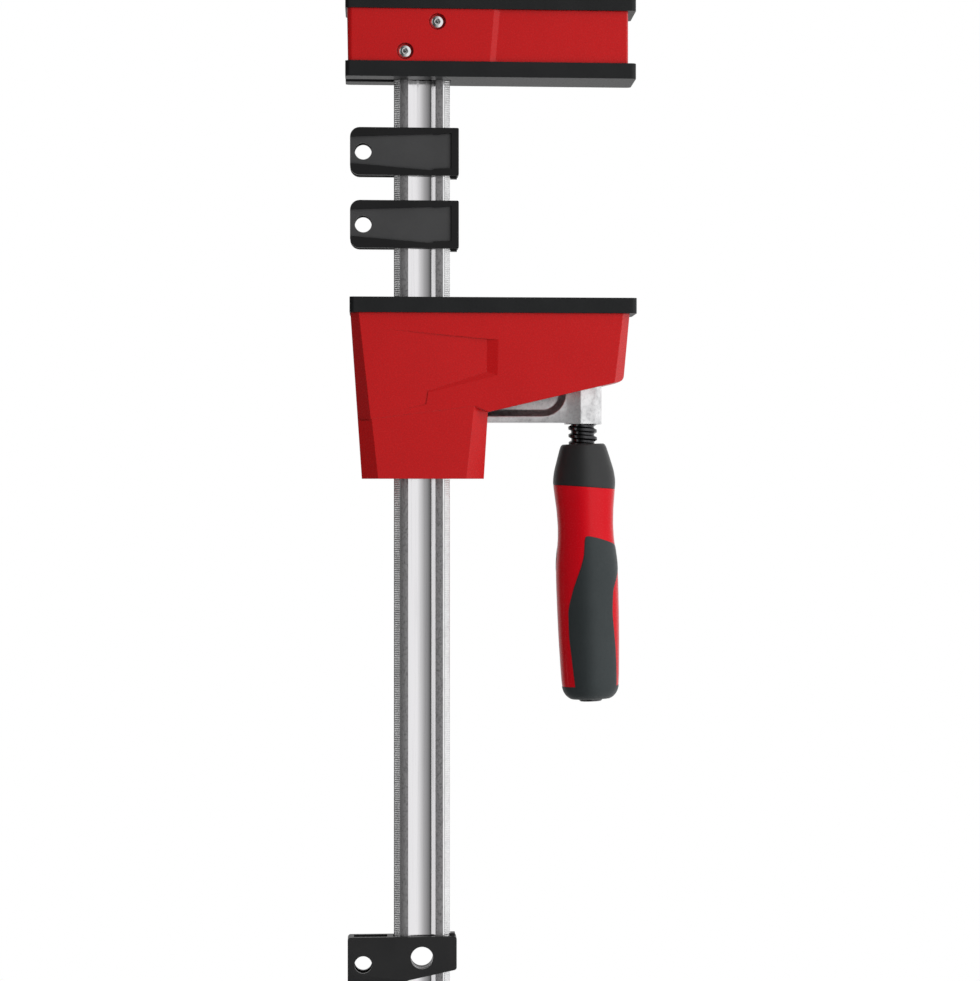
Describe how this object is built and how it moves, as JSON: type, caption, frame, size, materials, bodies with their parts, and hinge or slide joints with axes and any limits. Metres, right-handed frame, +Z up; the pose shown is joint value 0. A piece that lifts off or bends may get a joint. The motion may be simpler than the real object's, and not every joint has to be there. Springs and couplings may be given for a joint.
{
  "type": "parallel clamp",
  "caption": "Bar clamp with two parallel padded jaws, a grooved rail, sliding arm and a turned two-tone spindle handle.",
  "frame": {"origin": "centre of the fixed head's clamping face", "axes": "+X from the rail toward the jaw tips, +Y to the rear, +Z up along the rail toward the fixed head"},
  "size_m": [0.1506, 0.042, 0.5191],
  "materials": {
    "rail_steel": "zinc plated",
    "bent_steel": "zinc plated",
    "screw_steel": "bright zinc",
    "red_housing": "satin glass-filled plastic",
    "black_pad": "matte plastic",
    "black_clip": "matte plastic",
    "arm_iron": "zinc plated casting",
    "inner_plastic": "plain plastic",
    "spindle_steel": "black oxide, oiled",
    "red_grip": "smooth plastic",
    "black_grip": "soft grip"
  },
  "bodies": {
    "frame": {"rail": "rail_steel", "head_channel": "bent_steel", "head_housing": "red_housing", "head_clamping_pad": "black_pad", "head_back_pad": "black_pad", "head_screws": "screw_steel", "head_sleeve_nuts": "screw_steel"},
    "upper_clip": {"upper_bar_clip": "black_clip"},
    "lower_clip": {"lower_bar_clip": "black_clip"},
    "rail_end_clip": {"end_clip": "black_clip"},
    "arm": {"sliding_arm": "arm_iron", "upper_grip_pin": "screw_steel", "lower_grip_pin": "screw_steel", "friction_spring": "screw_steel"},
    "jaw": {"jaw_cover": "red_housing", "jaw_channel": "bent_steel", "jaw_pad": "black_pad", "upper_rail_guide": "inner_plastic", "lower_rail_guide": "inner_plastic", "guide_rivets": "screw_steel", "thrust_block": "bent_steel", "retaining_ring": "screw_steel"},
    "screw": {"spindle": "spindle_steel", "handle_collar": "black_pad", "handle_core": "red_grip", "handle_overmould": "black_grip", "handle_end_cap": "black_grip"}
  },
  "joints": [
    {"name": "upper_clip_slide", "type": "slide", "parent": "frame", "child": "upper_clip", "axis": [0, 0, 1], "range_m": [0, 0.0245]},
    {"name": "lower_clip_slide", "type": "slide", "parent": "frame", "child": "lower_clip", "axis": [0, 0, 1], "range_m": [0, 0.0112]},
    {"name": "end_clip_slide", "type": "slide", "parent": "frame", "child": "rail_end_clip", "axis": [0, 0, -1], "range_m": [0, 0.033]},
    {"name": "jaw_slide", "type": "slide", "parent": "frame", "child": "arm", "axis": [0, 0, 1], "range_m": [-0.227, 0.015]},
    {"name": "jaw_feed", "type": "slide", "parent": "arm", "child": "jaw", "axis": [0, 0, 1], "range_m": [-0.008, 0.009]},
    {"name": "spindle_turn", "type": "hinge", "parent": "jaw", "child": "screw", "pos_m": [0.0483, 0, -0.1788], "axis": [-0.0305, 0, 0.9995], "range_deg": [-720, 810]}
  ],
  "couplings": [
    {"joint": "jaw_feed", "follows": "spindle_turn", "m_per_rad": 0.00063662}
  ]
}
